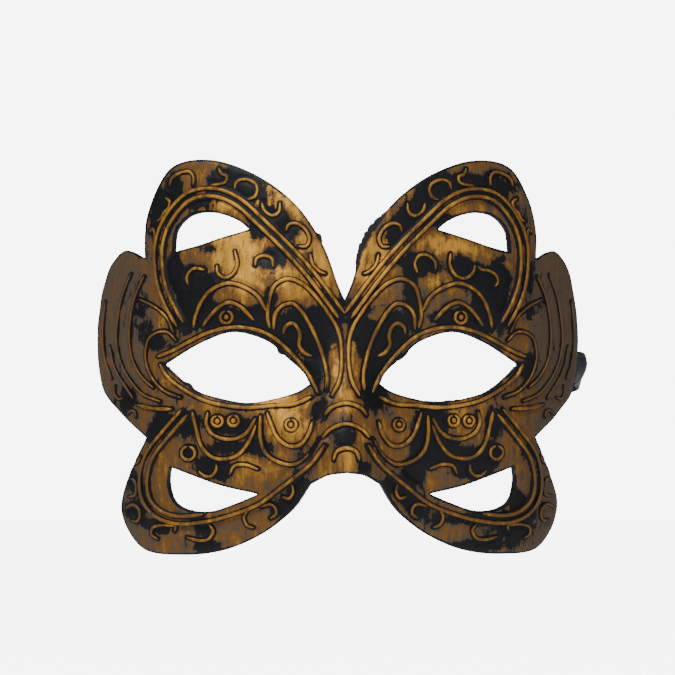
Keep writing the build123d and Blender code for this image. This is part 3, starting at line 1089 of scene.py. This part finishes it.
class MASK_OT_ribbons(bpy.types.Operator):
    """Lay both ribbons from their patches over the folds to the hank"""
    bl_idname = "mask.ribbons"
    bl_label = "Ribbons"

    def execute(self, context):
        for word in SIDES:
            course = smooth_course(ribbon_route(word), 1.3)
            along = unit_along(course)
            slant = np.clip((np.abs(course[:, 0]) - HANK_HALF - 2) / 14, 0, 1) * along[:, 2]
            up = np.array([0, 0, 1.0]) - along * slant[:, None]
            up /= np.linalg.norm(up, axis=1, keepdims=True)
            obj = satin_strip(f"satin_ribbon_{word}", course, up, RIBBON_WIDTH)
            self.pinch_fold(obj.data, SIDES[word])
            finish_piece(obj, material_of("Black Satin", satin))
            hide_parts(f"ribbon_{word}", f"ribbon_end_{word}", f"ribbon_folds_{word}")
            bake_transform(obj)
        return {"FINISHED"}

    def pinch_fold(self, mesh, side):
        """Draw the fold's two selvedges in, so that its middle stands out furthest."""
        co = places_of(mesh) / MM
        near = np.exp(-((co[:, 1] - FOLD_Y) / FOLD_REACH) ** 2) * (np.abs(co[:, 0]) > 84)
        co[:, 0] -= side * near * PINCH * ((co[:, 2] - 0.8) / 6) ** 2
        set_places(mesh, co * MM)


class MASK_OT_wrap(bpy.types.Operator):
    """Wrap a short band of ribbon round the hank, one end lapped over the other"""
    bl_idname = "mask.wrap"
    bl_label = "Wrap"

    def execute(self, context):
        route = [(0.0, HANK_Y + WRAP_HALF_Y * y - WRAP_LAP * (i > 7), HANK_Z + WRAP_HALF_Z * z)
                 for i, (y, z) in enumerate(WRAP_CORNERS)]
        course = smooth_course(route, 0.8)
        up = np.tile([1.0, 0, 0], (len(course), 1))
        obj = satin_strip("satin_wrap", course, up, WRAP_WIDTH)
        finish_piece(obj, material_of("Black Satin", satin), "tie")
        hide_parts("tie_wrap")
        return {"FINISHED"}


AIM = (-0.0027, 0, 0.0111)
FLOOR_Z = -0.30
LIGHTS = [("key", (-0.45, -0.75, 1.0), 0.5, 11), ("fill", (0.8, -1.0, 0.3), 0.9, 2.2),
          ("back", (0.0, 1.2, 1.0), 1.2, 6)]


class MASK_OT_stage(bpy.types.Operator):
    """Set the camera, lights, floor and backdrop"""
    bl_idname = "mask.stage"
    bl_label = "Stage"

    def execute(self, context):
        stage = context.scene.mask_stage
        back = Vector((math.sin(stage.azimuth), -math.cos(stage.azimuth), 0))
        data = bpy.data.cameras.new("front_camera")
        data.lens = stage.lens
        data.sensor_width = 36
        camera = bpy.data.objects.new("front_camera", data)
        camera.location = Vector(AIM) + back * stage.distance
        camera.rotation_mode = "QUATERNION"
        camera.rotation_quaternion = (-back).to_track_quat("-Z", "Y")
        context.collection.objects.link(camera)
        context.scene.camera = camera
        for light in LIGHTS:
            self.add_light(*light)
        world = context.scene.world or bpy.data.worlds.new("soft_room")
        context.scene.world = world
        world.use_nodes = True
        sky = world.node_tree.nodes["Background"]
        sky.inputs["Color"].default_value = (1, 1, 1, 1)
        glow_where_seen(world.node_tree, sky.inputs["Strength"], 0.19, 7.0)
        self.add_floor()
        return {"FINISHED"}

    def add_light(self, name, place, size, power):
        """A round light that faces the origin."""
        data = bpy.data.lights.new(name, "AREA")
        data.shape = "DISK"
        data.size = size
        data.energy = power
        light = bpy.data.objects.new(name, data)
        light.location = place
        light.rotation_mode = "QUATERNION"
        light.rotation_quaternion = (-Vector(place)).to_track_quat("-Z", "Y")
        bpy.context.collection.objects.link(light)

    def add_floor(self):
        fresh_start()
        bpy.ops.mesh.primitive_plane_add(size=8, location=(0, 0, FLOOR_Z))
        floor = bpy.context.object
        floor.name = "floor"
        floor.data.materials.append(material_of("Pale Paper", paper))


class MASK_PT_panel(bpy.types.Panel):
    bl_label = "Venetian Half Mask"
    bl_idname = "MASK_PT_panel"
    bl_space_type = "VIEW_3D"
    bl_region_type = "UI"
    bl_category = "Mask"

    def draw(self, context):
        for group in (getattr(context.scene, name) for name in SETTINGS):
            for name in group.bl_rna.properties.keys():
                if name not in ("rna_type", "name"):
                    self.layout.prop(group, name)
        for operator in OPERATORS:
            self.layout.operator(operator.bl_idname)


OPERATORS = (MASK_OT_stage, MASK_OT_wrap, MASK_OT_ribbons, MASK_OT_shell, MASK_OT_relief,
             MASK_OT_lining)
CLASSES = (MaskShape, MaskFinish, MaskStage, *OPERATORS, MASK_PT_panel)


SETTINGS = {"mask_shape": MaskShape, "mask_finish": MaskFinish, "mask_stage": MaskStage}


def register():
    for cls in CLASSES:
        bpy.utils.register_class(cls)
    for name, group in SETTINGS.items():
        setattr(bpy.types.Scene, name, bpy.props.PointerProperty(type=group))


def unregister():
    for name in SETTINGS:
        delattr(bpy.types.Scene, name)
    for cls in reversed(CLASSES):
        bpy.utils.unregister_class(cls)


def main():
    register()
    bpy.ops.mask.stage()
    bpy.ops.mask.wrap()
    bpy.ops.mask.ribbons()
    bpy.ops.mask.shell()
    bpy.ops.mask.relief()
    bpy.ops.mask.lining()


if __name__ == "__main__":
    main()
